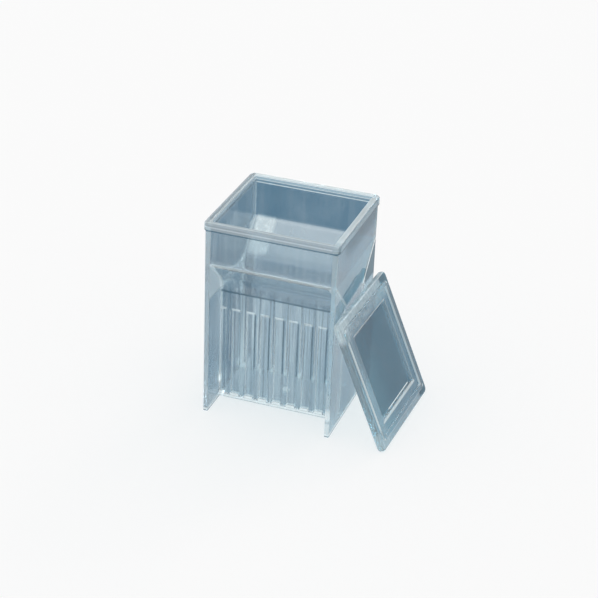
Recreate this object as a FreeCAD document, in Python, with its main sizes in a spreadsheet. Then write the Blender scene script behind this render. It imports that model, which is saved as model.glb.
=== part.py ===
import FreeCAD, Part
import math
import os
import Sketcher

# A clear plastic staining jar for microscope slides, with its lid taken off and leant on the jar.
# The origin is on the ground under the middle of the jar. +Z is up, -Y is the front, and the lid
# leans on the right-hand plate, at +X. Lengths are in millimetres and angles in degrees.

os.makedirs("parts", exist_ok=True)
doc = FreeCAD.newDocument("staining_jar")

DRIVING_SIZES = [
    # jar: outer box
    ("jar_height", 95.0, "ground to the top of the rim"),
    ("box_depth", 57.1, "front face to back face of the upper box, and of the side plates"),
    ("box_wall", 1.5, "front and back walls, all the way down"),
    ("plate_wall", 2.2, "side plates"),
    ("plate_edge", 0.5, "rounding of the upright edges of the side plates"),
    # jar: hopper that narrows the box to the slide tank
    ("hopper_start", 75.8, "height where the front and back walls turn inwards"),
    ("hopper_angle", 45.0, "slope of the hopper, up from level"),
    ("hopper_bend", 2.5, "inside radius of the upper bend"),
    ("neck_bend", 12.0, "outside radius of the lower bend"),
    # jar: slide tank
    ("slide_width", 26.0, "slide that the tank takes on edge"),
    ("slide_play", 0.45, "room between a slide's edge and the bottom of its groove"),
    ("groove_count", 8, "grooves across the tank"),
    ("groove_pitch", 6.8, "from one groove to the next"),
    ("end_margin", 0.8, "extra width of the half ribs beside the plates"),
    ("rib_width", 3.8, "full rib between two grooves"),
    ("rib_depth", 1.5, "how far a rib stands out from the wall"),
    ("rib_height", 44.4, "tank floor to the top of a rib at the wall"),
    ("rib_lead", 1.6, "drop of a rib's top from the wall to its nose"),
    ("rib_round", 0.5, "rounding of a rib's nose"),
    ("floor_gap", 0.45, "ground to the underside of the tank"),
    ("floor_wall", 2.2, "tank floor"),
    ("floor_edge", 0.8, "rounding under the front and back of the tank"),
    ("inner_corner", 0.9, "rounding of the inside corners"),
    ("gate_width", 2.6, "moulding gate under the tank floor, diameter"),
    ("gate_drop", 0.25, "moulding gate, how far it stands down"),
    # jar: rim
    ("rim_height", 4.1, "bead around the mouth"),
    ("rim_proud", 0.9, "how far the bead stands out from the walls"),
    ("rim_corner", 2.6, "corner of the bead, seen from above"),
    ("rim_round", 1.1, "rounding of the bead's upper edge"),
    ("rim_under", 0.4, "rounding of the bead's lower edge"),
    ("mouth_round", 0.4, "rounding of the mouth's inner edge"),
    # lid
    ("lid_overhang", 0.35, "how far the lid's edge is outside the bead's edge"),
    ("lid_wall", 3.0, "lid flange"),
    ("lid_round", 1.0, "rounding of the flange's edges"),
    ("plug_play", 0.3, "room between the plug and the mouth, each side"),
    ("plug_height", 0.7, "plug, below the flange when the lid is on"),
    ("plug_wall", 2.5, "wall of the plug"),
    ("plug_corner", 2.0, "corner of the plug, seen from above"),
    ("plug_round", 0.3, "rounding of the plug's free edges"),
    ("panel_margin", 9.9, "lid edge to the sunk panel"),
    ("panel_sink", 1.0, "depth of the sunk panel"),
    ("panel_slope", 1.8, "width of the sloping border of the panel"),
    ("lean_angle", 66.7, "lid above level"),
    ("lid_turn", 2.5, "turn of the lid about the upright, which moves its back end off the plate"),
    ("lean_gap", 0.05, "room between the lid and the plate that it leans on"),
    ("lid_forward", 1.75, "middle of the lid in front of the middle of the jar"),
]

sizes = doc.addObject("Spreadsheet::Sheet", "sizes")
for row, (alias, number, note) in enumerate(DRIVING_SIZES, start=1):
    sizes.set(f"A{row}", note)
    sizes.set(f"B{row}", str(number))
    sizes.setAlias(f"B{row}", alias)
doc.recompute()

# worked out from the driving sizes
INNER_WIDTH = "(sizes.groove_count * sizes.groove_pitch + 2 * sizes.end_margin)"
BODY_WIDTH = f"({INNER_WIDTH} + 2 * sizes.plate_wall)"
TANK_INNER = "(sizes.slide_width + 2 * sizes.slide_play)"
TANK_OUTER = f"({TANK_INNER} + 2 * sizes.box_wall)"
MOUTH_DEPTH = "(sizes.box_depth - 2 * sizes.box_wall)"
FLOOR_TOP = "(sizes.floor_gap + sizes.floor_wall)"
RIM_WIDTH = f"({BODY_WIDTH} + 2 * sizes.rim_proud)"
RIM_DEPTH = "(sizes.box_depth + 2 * sizes.rim_proud)"
LID_WIDTH = f"({RIM_WIDTH} + 2 * sizes.lid_overhang)"
LID_DEPTH = f"({RIM_DEPTH} + 2 * sizes.lid_overhang)"
PLUG_WIDTH = f"({INNER_WIDTH} - 2 * sizes.plug_play)"
PLUG_DEPTH = f"({MOUTH_DEPTH} - 2 * sizes.plug_play)"
PANEL_FLOOR = "(sizes.lid_wall - sizes.panel_sink)"


def worth(expression):
    """Number that an expression on the sheet has now."""
    return float(sizes.evalExpression(expression.replace("sizes.", "")))


def origin_plane(body, role):
    """One of the body's own origin planes."""
    return next(item for item in body.Origin.OriginFeatures if item.Role == role)


def new_sketch(body, name, plane, offset="0"):
    """Sketch on an origin plane of the body, moved along the plane's normal by an expression."""
    sketch = body.newObject("Sketcher::SketchObject", name)
    sketch.AttachmentSupport = [(origin_plane(body, plane), "")]
    sketch.MapMode = "FlatFace"
    sketch.setExpression("AttachmentOffset.Base.z", offset)
    return sketch


def limit(sketch, expression, kind, *where):
    """Dimension of a sketch, tied to an expression."""
    number = worth(expression)
    if kind == "Angle":
        number = FreeCAD.Units.Quantity(f"{number} deg")
    index = sketch.addConstraint(Sketcher.Constraint(kind, *where, number))
    sketch.setExpression(f"Constraints[{index}]", expression)


def place(sketch, geometry, end, across=None, up=None):
    """Position of a point of the sketch from the sketch's origin."""
    if across is not None:
        limit(sketch, across, "DistanceX", -1, 1, geometry, end)
    if up is not None:
        limit(sketch, up, "DistanceY", -1, 1, geometry, end)


def line(sketch, start, end):
    return sketch.addGeometry(Part.LineSegment(FreeCAD.Vector(*start), FreeCAD.Vector(*end)), False)


def arc(sketch, centre, radius, start_degrees, end_degrees):
    circle = Part.Circle(FreeCAD.Vector(*centre), FreeCAD.Vector(0, 0, 1), radius)
    bow = Part.ArcOfCircle(circle, math.radians(start_degrees), math.radians(end_degrees))
    return sketch.addGeometry(bow, False)


def join(sketch, kind, first, first_end, second, second_end):
    sketch.addConstraint(Sketcher.Constraint(kind, first, first_end, second, second_end))


def rounded_rectangle(sketch, width, depth, corner):
    """Rectangle about the sketch's origin, with four equal round corners."""
    x = worth(width) / 2
    y = worth(depth) / 2
    r = worth(corner)
    bottom = line(sketch, (r - x, -y, 0), (x - r, -y, 0))
    right = line(sketch, (x, r - y, 0), (x, y - r, 0))
    top = line(sketch, (x - r, y, 0), (r - x, y, 0))
    left = line(sketch, (-x, y - r, 0), (-x, r - y, 0))
    corners = [
        arc(sketch, (x - r, r - y, 0), r, 270, 360),
        arc(sketch, (x - r, y - r, 0), r, 0, 90),
        arc(sketch, (r - x, y - r, 0), r, 90, 180),
        arc(sketch, (r - x, r - y, 0), r, 180, 270),
    ]
    sides = [bottom, right, top, left]
    for index, bend in enumerate(corners):
        join(sketch, "Tangent", sides[index], 2, bend, 1)
        join(sketch, "Tangent", bend, 2, sides[(index + 1) % 4], 1)
    for side in (bottom, top):
        sketch.addConstraint(Sketcher.Constraint("Horizontal", side))
    for side in (left, right):
        sketch.addConstraint(Sketcher.Constraint("Vertical", side))
    for bend in corners[1:]:
        sketch.addConstraint(Sketcher.Constraint("Equal", corners[0], bend))
    limit(sketch, corner, "Radius", corners[0])
    place(sketch, bottom, 1, up=f"-{depth} / 2")
    place(sketch, top, 1, up=f"{depth} / 2")
    place(sketch, left, 1, across=f"-{width} / 2")
    place(sketch, right, 1, across=f"{width} / 2")


def polygon(sketch, points):
    """Closed outline through points given as pairs of expressions."""
    corners = [(worth(across), worth(up), 0) for across, up in points]
    sides = [line(sketch, corners[i], corners[(i + 1) % len(corners)]) for i in range(len(corners))]
    for index, side in enumerate(sides):
        join(sketch, "Coincident", side, 2, sides[(index + 1) % len(sides)], 1)
        place(sketch, side, 1, across=points[index][0], up=points[index][1])


def hopper_side(sketch, side, half_box, half_tank, upper_bend, lower_bend, bottom):
    """One side of the hopper's section, from the rim down: wall, bend, slope, bend, tank wall."""
    x_box = side * worth(half_box)
    x_tank = side * worth(half_tank)
    upper = worth(upper_bend)
    lower = worth(lower_bend)
    top = worth("sizes.jar_height")
    start = worth("sizes.hopper_start")
    angle = worth("sizes.hopper_angle")
    turn = 90 - angle
    sine = worth(f"sin(90 - {angle})")
    cosine = worth(f"cos(90 - {angle})")
    run = worth(half_box) - worth(half_tank) - (upper + lower) * (1 - cosine)
    drop = run * cosine / sine
    x_one = x_box - side * upper * (1 - cosine)
    z_one = start - upper * sine
    x_two = x_one - side * run
    z_two = z_one - drop
    end = z_two - lower * sine
    wall = line(sketch, (x_box, top, 0), (x_box, start, 0))
    slope = line(sketch, (x_one, z_one, 0), (x_two, z_two, 0))
    tank = line(sketch, (x_tank, end, 0), (x_tank, worth(bottom), 0))
    if side > 0:
        bend_one = arc(sketch, (x_box - upper, start, 0), upper, -turn, 0)
        bend_two = arc(sketch, (x_tank + lower, end, 0), lower, 180 - turn, 180)
        ends = (2, 1, 1, 2)
        direction = "sizes.hopper_angle - 180"
    else:
        bend_one = arc(sketch, (x_box + upper, start, 0), upper, 180, 180 + turn)
        bend_two = arc(sketch, (x_tank - lower, end, 0), lower, 0, turn)
        ends = (1, 2, 2, 1)
        direction = "-sizes.hopper_angle"
    join(sketch, "Tangent", wall, 2, bend_one, ends[0])
    join(sketch, "Tangent", bend_one, ends[1], slope, 1)
    join(sketch, "Tangent", slope, 2, bend_two, ends[2])
    join(sketch, "Tangent", bend_two, ends[3], tank, 1)
    sketch.addConstraint(Sketcher.Constraint("Vertical", wall))
    sketch.addConstraint(Sketcher.Constraint("Vertical", tank))
    limit(sketch, upper_bend, "Radius", bend_one)
    limit(sketch, lower_bend, "Radius", bend_two)
    limit(sketch, direction, "Angle", slope)
    sign = "" if side > 0 else "-"
    place(sketch, wall, 1, across=f"{sign}{half_box}", up="sizes.jar_height")
    place(sketch, wall, 2, up="sizes.hopper_start")
    place(sketch, tank, 2, across=f"{sign}{half_tank}", up=bottom)
    return wall, tank


def hopper_section(sketch, box, tank, upper_bend, lower_bend, bottom):
    """Closed section across the jar: box above, hopper, tank below."""
    ends = [
        hopper_side(sketch, side, f"({box} / 2)", f"({tank} / 2)", upper_bend, lower_bend, bottom)
        for side in (-1, 1)
    ]
    (left_wall, left_tank), (right_wall, right_tank) = ends
    x_box = worth(box) / 2
    x_tank = worth(tank) / 2
    z_top = worth("sizes.jar_height")
    z_floor = worth(bottom)
    cover = line(sketch, (-x_box, z_top, 0), (x_box, z_top, 0))
    floor = line(sketch, (-x_tank, z_floor, 0), (x_tank, z_floor, 0))
    join(sketch, "Coincident", cover, 1, left_wall, 1)
    join(sketch, "Coincident", cover, 2, right_wall, 1)
    join(sketch, "Coincident", floor, 1, left_tank, 2)
    join(sketch, "Coincident", floor, 2, right_tank, 2)


def extrude(body, kind, name, sketch, length, symmetric=False, reverse=False):
    """Pad or pocket of a sketch."""
    feature = body.newObject(f"PartDesign::{kind}", name)
    feature.Profile = sketch
    feature.setExpression("Length", length)
    if symmetric:
        feature.SideType = "Symmetric"
    feature.Reversed = reverse
    doc.recompute()
    return feature


def ease(body, name, radius, wanted):
    """Fillet on the edges of the body's tip for which wanted(edge) is true."""
    tip = body.Tip
    names = [f"Edge{i}" for i, edge in enumerate(tip.Shape.Edges, start=1) if wanted(edge)]
    fillet = body.newObject("PartDesign::Fillet", name)
    fillet.Base = (tip, names)
    fillet.setExpression("Radius", radius)
    doc.recompute()
    return fillet


def near(first, second):
    return abs(first - second) < 1e-4


def level(edge, height):
    """True for an edge that lies at one height."""
    return near(edge.BoundBox.ZMin, height) and near(edge.BoundBox.ZMax, height)


def farther_out(edge, half_x, half_y):
    """True for an edge that has a point outside a rectangle about the origin."""
    box = edge.BoundBox
    across = max(abs(box.XMin), abs(box.XMax))
    along = max(abs(box.YMin), abs(box.YMax))
    return across > half_x or along > half_y


# jar: one moulding
jar = doc.addObject("PartDesign::Body", "jar")
jar.Label = "jar"

outside = new_sketch(jar, "outside", "YZ_Plane")
hopper_section(
    outside, "sizes.box_depth", TANK_OUTER,
    "(sizes.hopper_bend + sizes.box_wall)", "sizes.neck_bend", "sizes.floor_gap",
)
extrude(jar, "Pad", "hopper", outside, f"{INNER_WIDTH} + sizes.plate_wall", symmetric=True)

# the side plates run from the rim to the ground, so they are also the feet
plate_middle = f"({INNER_WIDTH} + sizes.plate_wall) / 2"
for name, sign in (("left", "-"), ("right", "")):
    section = new_sketch(jar, f"{name}_plate_section", "XY_Plane")
    rounded_rectangle(section, "sizes.plate_wall", "sizes.box_depth", "sizes.plate_edge")
    section.setExpression("AttachmentOffset.Base.x", f"{sign}({plate_middle})")
    extrude(jar, "Pad", f"{name}_plate", section, "sizes.jar_height")

bead_outline = new_sketch(jar, "bead_outline", "XY_Plane", "sizes.jar_height - sizes.rim_height")
rounded_rectangle(bead_outline, RIM_WIDTH, RIM_DEPTH, "sizes.rim_corner")
extrude(jar, "Pad", "bead", bead_outline, "sizes.rim_height")

gate_outline = new_sketch(jar, "gate_outline", "XY_Plane", "sizes.floor_gap")
gate_circle = Part.Circle(FreeCAD.Vector(0, 0, 0), FreeCAD.Vector(0, 0, 1), worth("sizes.gate_width") / 2)
gate_outline.addGeometry(gate_circle, False)
join(gate_outline, "Coincident", 0, 3, -1, 1)
limit(gate_outline, "sizes.gate_width / 2", "Radius", 0)
extrude(jar, "Pad", "gate", gate_outline, "sizes.gate_drop", reverse=True)

inside = new_sketch(jar, "inside", "YZ_Plane")
hopper_section(
    inside, MOUTH_DEPTH, TANK_INNER,
    "sizes.hopper_bend", "(sizes.neck_bend + sizes.box_wall)", FLOOR_TOP,
)
cavity = extrude(jar, "Pocket", "cavity", inside, INNER_WIDTH, symmetric=True)

inner_half_width = worth(INNER_WIDTH) / 2
inner_half_depth = worth(MOUTH_DEPTH) / 2
floor_top = worth(FLOOR_TOP)
jar_top = worth("sizes.jar_height")


def in_cavity_corner(edge):
    """Edges where the cavity's walls meet each other or its floor."""
    middle = Part.Vertex(edge.valueAt((edge.FirstParameter + edge.LastParameter) / 2))
    on_cavity = middle.distToShape(cavity.AddSubShape)[0] < 1e-4
    at_plate = near(edge.BoundBox.XLength, 0) and near(abs(edge.BoundBox.XMin), inner_half_width)
    return on_cavity and not level(edge, jar_top) and (at_plate or level(edge, floor_top))


ease(jar, "inside_corners", "sizes.inner_corner", in_cavity_corner)

# ribs: front and back in one sketch, each with a sloping top that leads a slide in
rib_root = f"({TANK_INNER} + sizes.box_wall) / 2"
rib_nose = f"({TANK_INNER} / 2 - sizes.rib_depth)"
rib_foot = "sizes.floor_gap + sizes.floor_wall / 2"
rib_top = f"{FLOOR_TOP} + sizes.rib_height"


def rib_pair(name, offset):
    """Section of a front and a back rib, on a plane across the tank."""
    section = new_sketch(jar, name, "YZ_Plane", offset)
    for sign in ("-", ""):
        polygon(section, [
            (f"{sign}({rib_root})", rib_foot),
            (f"{sign}({rib_root})", rib_top),
            (f"{sign}({TANK_INNER} / 2)", rib_top),
            (f"{sign}{rib_nose}", f"{rib_top} - sizes.rib_lead"),
            (f"{sign}{rib_nose}", rib_foot),
        ])
    return section


first_rib = rib_pair("rib_section", "-(sizes.groove_count / 2 - 1) * sizes.groove_pitch")
rib = extrude(jar, "Pad", "rib", first_rib, "sizes.rib_width", symmetric=True)
ribs = jar.newObject("PartDesign::LinearPattern", "ribs")
ribs.Originals = [rib]
ribs.Direction = (origin_plane(jar, "X_Axis"), [""])
ribs.Mode = "Spacing"
ribs.setExpression("Offset", "sizes.groove_pitch")
ribs.setExpression("Occurrences", "sizes.groove_count - 1")
jar.Tip = ribs
doc.recompute()

# a half rib in each corner, against the plate
plate_inside = f"{INNER_WIDTH} / 2"
end_width = "(sizes.rib_width / 2 + sizes.end_margin)"
for name, offset in (
    ("left_end_rib", f"-{plate_inside} - sizes.plate_wall / 2"),
    ("right_end_rib", f"{plate_inside} - {end_width}"),
):
    extrude(jar, "Pad", name, rib_pair(f"{name}_section", offset), f"{end_width} + sizes.plate_wall / 2")

nose_line = worth(rib_nose)
rib_peak = worth(rib_top)


def on_rib_nose(edge):
    """Upright edges of the ribs' noses."""
    box = edge.BoundBox
    upright = near(box.XMin, box.XMax) and near(box.YMin, box.YMax) and box.ZLength > 1
    free = abs(box.XMin) < inner_half_width - 0.1
    return upright and free and near(abs(box.YMin), nose_line) and box.ZMax < rib_peak


ease(jar, "rib_noses", "sizes.rib_round", on_rib_nose)

under_tank = worth("sizes.floor_gap")
tank_half = worth(TANK_OUTER) / 2
ease(jar, "tank_edges", "sizes.floor_edge", lambda edge: (
    level(edge, under_tank) and near(abs(edge.BoundBox.YMin), tank_half) and near(edge.BoundBox.YLength, 0)
))

box_half_width = worth(BODY_WIDTH) / 2
box_half_depth = worth("sizes.box_depth / 2")
bead_bottom = worth("sizes.jar_height - sizes.rim_height")
ease(jar, "bead_top", "sizes.rim_round", lambda edge: (
    level(edge, jar_top) and farther_out(edge, box_half_width + 1e-3, box_half_depth + 1e-3)
))
ease(jar, "bead_under", "sizes.rim_under", lambda edge: (
    level(edge, bead_bottom) and farther_out(edge, box_half_width + 1e-3, box_half_depth + 1e-3)
))
ease(jar, "mouth", "sizes.mouth_round", lambda edge: (
    level(edge, jar_top) and not farther_out(edge, inner_half_width + 1e-3, inner_half_depth + 1e-3)
))

# lid: drawn flat about its own middle with its outer face at z = 0 and its plug upwards, then leant
lid = doc.addObject("PartDesign::Body", "lid")
lid.Label = "lid"

flange_outline = new_sketch(lid, "flange_outline", "XY_Plane")
rounded_rectangle(flange_outline, LID_WIDTH, LID_DEPTH, "sizes.rim_corner")
extrude(lid, "Pad", "flange", flange_outline, "sizes.lid_wall")
ease(lid, "flange_edges", "sizes.lid_round", lambda edge: near(edge.BoundBox.ZLength, 0))

plug_outline = new_sketch(lid, "plug_outline", "XY_Plane", "sizes.lid_wall")
rounded_rectangle(plug_outline, PLUG_WIDTH, PLUG_DEPTH, "sizes.plug_corner")
rounded_rectangle(
    plug_outline, f"({PLUG_WIDTH} - 2 * sizes.plug_wall)", f"({PLUG_DEPTH} - 2 * sizes.plug_wall)",
    "sizes.plug_corner / 2",
)
extrude(lid, "Pad", "plug", plug_outline, "sizes.plug_height")
plug_top = worth("sizes.lid_wall + sizes.plug_height")
ease(lid, "plug_edges", "sizes.plug_round", lambda edge: level(edge, plug_top))

panel_outlines = []
for name, height, inset in (
    ("panel_rim", "sizes.lid_wall", "sizes.panel_margin"),
    ("panel_floor", PANEL_FLOOR, "(sizes.panel_margin + sizes.panel_slope)"),
):
    outline = new_sketch(lid, name, "XY_Plane", height)
    width, depth = (f"({side} - 2 * {inset})" for side in (LID_WIDTH, LID_DEPTH))
    rounded_rectangle(outline, width, depth, "sizes.plug_corner")
    panel_outlines.append(outline)
panel = lid.newObject("PartDesign::SubtractiveLoft", "panel")
panel.Profile = panel_outlines[0]
panel.Sections = [panel_outlines[1]]
doc.recompute()

# the lid leans about Y and turns a little about Z: its lower edge is on the ground and its upper
# front corner, where two round edges meet, is at the plate
corner_middle_x = f"({LID_WIDTH} / 2 - sizes.rim_corner)"
corner_middle_y = f"({LID_DEPTH} / 2 - sizes.rim_corner)"
edge_middle_x = f"({LID_WIDTH} / 2 - sizes.lid_round)"
lean_run = "(cos(sizes.lid_turn) * cos(sizes.lean_angle))"
lid.Placement.Rotation = FreeCAD.Rotation(FreeCAD.Vector(0, 1, 0), worth("sizes.lean_angle"))
lid.setExpression("Placement.Rotation", "rotationz(-sizes.lid_turn) * rotationy(sizes.lean_angle)")
lid.setExpression(
    "Placement.Base.x",
    f"{BODY_WIDTH} / 2 + sizes.lean_gap + {corner_middle_x} * {lean_run}"
    f" + {corner_middle_y} * sin(sizes.lid_turn)"
    f" + (sizes.rim_corner - sizes.lid_round) * sqrt({lean_run} ^ 2 + sin(sizes.lid_turn) ^ 2)"
    " + sizes.lid_round * (1 - cos(sizes.lid_turn) * sin(sizes.lean_angle))",
)
lid.setExpression("Placement.Base.y", "-sizes.lid_forward")
lid.setExpression(
    "Placement.Base.z",
    f"{edge_middle_x} * sin(sizes.lean_angle) + sizes.lid_round * (1 - cos(sizes.lean_angle))",
)
doc.recompute()

# nothing is written unless every object is sound
for item in doc.Objects:
    if "Invalid" in item.State or "Error" in item.State:
        raise RuntimeError(f"{item.Name} failed: {item.State}")
for body in (jar, lid):
    if body.Shape.isNull() or not body.Shape.isValid() or len(body.Shape.Solids) != 1:
        raise RuntimeError(f"{body.Label} is not one sound solid")
for body in (jar, lid):
    body.Shape.exportStep(f"parts/{body.Label}.step")
    print(body.Label, "volume", round(body.Shape.Volume, 1), "box", body.Shape.BoundBox)
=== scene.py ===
import math

import bpy
from mathutils import Matrix, Vector


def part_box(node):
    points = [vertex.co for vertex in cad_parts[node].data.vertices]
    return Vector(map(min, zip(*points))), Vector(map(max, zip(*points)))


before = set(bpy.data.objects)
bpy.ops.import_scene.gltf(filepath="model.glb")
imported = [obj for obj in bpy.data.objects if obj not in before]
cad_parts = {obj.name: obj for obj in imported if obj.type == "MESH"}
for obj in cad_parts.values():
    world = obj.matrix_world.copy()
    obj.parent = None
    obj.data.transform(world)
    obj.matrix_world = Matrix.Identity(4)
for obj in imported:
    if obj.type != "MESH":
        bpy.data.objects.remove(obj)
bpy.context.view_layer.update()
print("frame loaded")

millimetre = 0.001    # materials are laid out in millimetres


class Wire:
    # an output of a node tree; arithmetic on it adds Math nodes
    def __init__(self, tree, socket=None):
        self.tree = tree
        self.socket = socket

    def node(self, kind, settings=None, inputs=None, output=0):
        item = self.tree.nodes.new(kind)
        for name, value in (settings or {}).items():
            setattr(item, name, value)
        for name, value in (inputs or {}).items():
            if isinstance(value, Wire):
                self.tree.links.new(value.socket, item.inputs[name])
            else:
                item.inputs[name].default_value = value
        return Wire(self.tree, item.outputs[output] if item.outputs else None)

    def maths(self, operation, first, second=0.0):
        return self.node("ShaderNodeMath", {"operation": operation}, {0: first, 1: second})

    def __add__(self, other):
        return self.maths("ADD", self, other)

    def __radd__(self, other):
        return self.maths("ADD", other, self)

    def __sub__(self, other):
        return self.maths("SUBTRACT", self, other)

    def __rsub__(self, other):
        return self.maths("SUBTRACT", other, self)

    def __mul__(self, other):
        return self.maths("MULTIPLY", self, other)

    def __rmul__(self, other):
        return self.maths("MULTIPLY", other, self)

    def __or__(self, other):    # the stronger of two masks
        return self.maths("MAXIMUM", self, other)

    def __and__(self, other):    # the weaker of two masks
        return self.maths("MINIMUM", self, other)

    def __abs__(self):
        return self.maths("ABSOLUTE", self)


def rise(value, start, end):    # 0 at start and 1 at end, and smooth between them
    limits = {"Value": value, "From Min": start, "From Max": end}
    return value.node("ShaderNodeMapRange", {"interpolation_type": "SMOOTHSTEP"}, limits)


def band(value, low, high, soft):    # 1 from low to high
    return rise(value, low - soft, low + soft) * rise(value, high + soft, high - soft)


def step(value, place, pair):    # a rise that starts and ends this far from a place
    return rise(value, place + pair[0], place + pair[1])


def strip(value, place, triple):    # a band whose edges lie this far from a place
    return band(value, place + triple[0], place + triple[1], triple[2])


def between(mask, low, high):    # a level that goes from low to high with a mask
    return low + (high - low) * mask


def oval(first, second, middle, half, edge):    # an oval spot that fades between two squared radii
    across = (first - middle[0]) * (1 / half[0])
    upward = (second - middle[1]) * (1 / half[1])
    return rise(across * across + upward * upward, *edge)


def noise(place, scale, detail, offset):
    spread = place.node("ShaderNodeMapping", None, {
        "Vector": place, "Scale": scale, "Location": (offset, offset, offset),
    })
    return place.node("ShaderNodeTexNoise", None, {"Vector": spread, "Scale": 1.0, "Detail": detail})


def blend(amount, first, second):    # colour between two colours
    inputs = {"Factor": amount, 6: first, 7: second}
    return amount.node("ShaderNodeMix", {"data_type": "RGBA"}, inputs, 2)


def newMaterial(name):
    material = bpy.data.materials.new(name)
    material.use_nodes = True
    material.node_tree.nodes.clear()
    return material, Wire(material.node_tree)


def split(place):
    separate = place.node("ShaderNodeSeparateXYZ", None, {"Vector": place})
    outputs = separate.socket.node.outputs
    return [Wire(place.tree, outputs[axis]) for axis in ("X", "Y", "Z")]


# clear moulded plastic: a tint that is looked through, with a pale haze, painted highlights and marks of
# painted shade on it
plastic = {
    "paleTint": (0.72, 0.82, 0.87, 1.0),
    "hazeAndHighlightColour": (0.94, 0.98, 0.98, 1.0),
    "hazeAndHighlightTone": (0.79, 0.90, 0.93, 1.0),
    "paintedShadeColour": (0.07, 0.15, 0.20, 1.0),
    "lampPassage": (0.92, 0.95, 0.96, 1.0),
    "bloomRoughness": 0.42,
    "bloomGloss": 0.3,
    "ior": 1.46,
    "roughness": (0.03, 0.10),
    "reliefDepth": 0.00004,
    "reliefStrength": 0.35,
    # patterns: scale on each axis, detail and offset
    "cloud": ((0.09, 0.09, 0.06), 3.0, 0.0),
    "ripple": ((0.35, 0.35, 0.05), 2.0, 7.0),
    "speck": ((3.0, 3.0, 1.2), 2.0, 3.0),
    # what the patterns do to the tint, the roughness, the relief, and the pale haze with its painted
    # highlights
    "tintRange": (0.86, 1.14),
    "cloudShare": 0.6,
    "roughStep": (0.3, 0.7),
    "speckRelief": 0.12,
    "shadeStep": (0.35, 0.65),
    "bloomRange": (0.9, 1.1),
    "paintedShadeFull": 0.25,    # a mark at least this strong has the whole dim colour
}


# the finish of both mouldings; deep, the pale haze with its painted highlights, and the painted shade say
# where and how much, from 0 to 1
def finishPlastic(start, place, deepTint, deep, hazeAndHighlight, paintedShade):
    cloud, ripple, speck = (noise(place, *plastic[name]) for name in ("cloud", "ripple", "speck"))
    tint = blend(deep * between(cloud, *plastic["tintRange"]), plastic["paleTint"], deepTint)
    mixed = cloud * plastic["cloudShare"] + speck * (1 - plastic["cloudShare"])
    roughness = between(rise(mixed, *plastic["roughStep"]), *plastic["roughness"])
    normal = start.node("ShaderNodeBump", None, {
        "Height": ripple + plastic["speckRelief"] * speck,
        "Strength": plastic["reliefStrength"], "Distance": plastic["reliefDepth"],
    })
    clear = start.node("ShaderNodeBsdfPrincipled", None, {
        "Base Color": tint, "Roughness": roughness, "IOR": plastic["ior"],
        "Transmission Weight": 1.0, "Normal": normal,
    })
    # where the painted shade is strong it takes the place of the pale haze and the painted highlights
    shaded = rise(paintedShade, 0.0, plastic["paintedShadeFull"])
    shade = blend(rise(speck, *plastic["shadeStep"]), plastic["hazeAndHighlightTone"], plastic["hazeAndHighlightColour"])
    hazeAndPaintedLight = start.node("ShaderNodeBsdfPrincipled", None, {
        "Base Color": blend(shaded, shade, plastic["paintedShadeColour"]), "Roughness": plastic["bloomRoughness"],
        "IOR": plastic["ior"], "Specular IOR Level": plastic["bloomGloss"], "Normal": normal,
    })
    amount = hazeAndHighlight * between(cloud, *plastic["bloomRange"]) * (1 - shaded) | paintedShade
    surface = start.node("ShaderNodeMixShader", None, {0: amount, 1: clear, 2: hazeAndPaintedLight})
    # light reaches matt surfaces through the walls, a little dimmed at each face
    passage = start.node("ShaderNodeBsdfTransparent", None, {"Color": plastic["lampPassage"]})
    rays = start.node("ShaderNodeLightPath").socket.node.outputs
    lighting = Wire(start.tree, rays["Is Shadow Ray"]) | Wire(start.tree, rays["Is Diffuse Ray"])
    surface = start.node("ShaderNodeMixShader", None, {0: lighting, 1: surface, 2: passage})
    start.node("ShaderNodeOutputMaterial", None, {"Surface": surface})


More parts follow.
